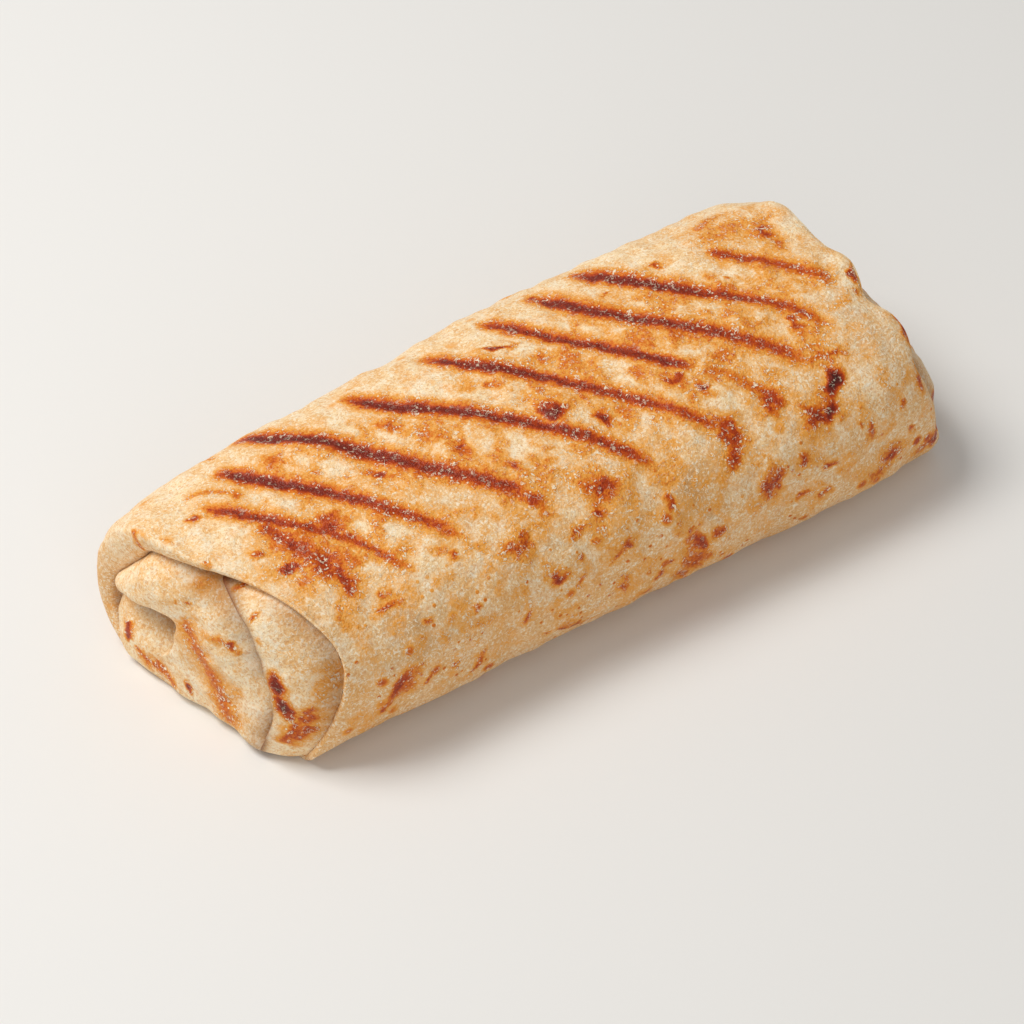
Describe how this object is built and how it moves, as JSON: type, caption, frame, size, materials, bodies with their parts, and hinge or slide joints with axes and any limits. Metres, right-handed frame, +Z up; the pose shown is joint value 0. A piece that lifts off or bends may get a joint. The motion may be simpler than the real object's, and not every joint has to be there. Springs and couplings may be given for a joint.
{
  "type": "sausage wrap",
  "caption": "Grilled tortilla wrap rolled around a hidden filling, flattened on the grill, with both ends folded in and dark slanting grill lines across the top.",
  "frame": {"origin": "middle of the footprint, on the surface the wrap rests on", "axes": "+X along the wrap from the slanted end that shows its folds to the far end, +Y to its back, +Z up; -Y is the long side that faces the viewer"},
  "size_m": [0.1922, 0.0788, 0.044],
  "materials": {
    "tortilla": "soft floury flatbread, cream with golden toasted patches, dark brown grill lines and small scorched spots"
  },
  "bodies": {
    "root": {"wrap": "tortilla"}
  },
  "joints": []
}
